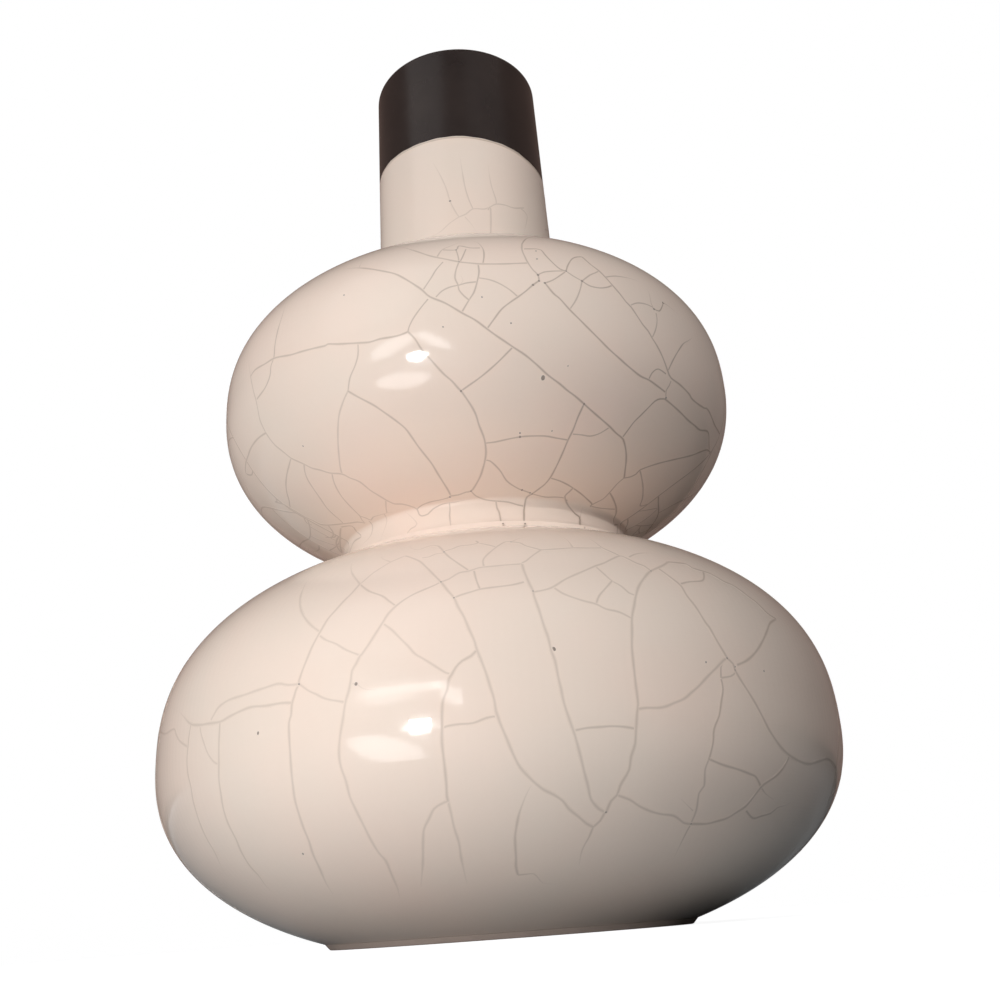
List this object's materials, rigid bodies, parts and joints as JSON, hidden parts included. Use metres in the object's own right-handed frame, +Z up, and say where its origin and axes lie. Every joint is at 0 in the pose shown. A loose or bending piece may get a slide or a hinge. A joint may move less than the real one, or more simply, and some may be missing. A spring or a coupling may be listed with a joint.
{
  "type": "double gourd vase",
  "caption": "Free-standing ceramic vase of flattened double gourd form, with a waist collar, an upright neck and a dark mouth, glazed in crackled cream white.",
  "frame": {"origin": "centre of the standing plane, under the foot ring", "axes": "+Z up along the axis of turning, -Y towards the side that the picture shows, +X to its right"},
  "size_m": [0.2016, 0.2016, 0.3],
  "materials": {
    "crackle_glaze": "gloss, with fine grey-brown crackle lines",
    "black_glaze": "satin",
    "bare_clay": "matt, unglazed"
  },
  "bodies": {
    "root": {"foot_ring": "bare_clay", "lower_bulb_bowl": "crackle_glaze", "lower_bulb_shoulder": "crackle_glaze", "waist_collar": "crackle_glaze", "upper_bulb_bowl": "crackle_glaze", "upper_bulb_shoulder": "crackle_glaze", "neck": "crackle_glaze", "mouth_collar": "black_glaze"}
  },
  "joints": []
}
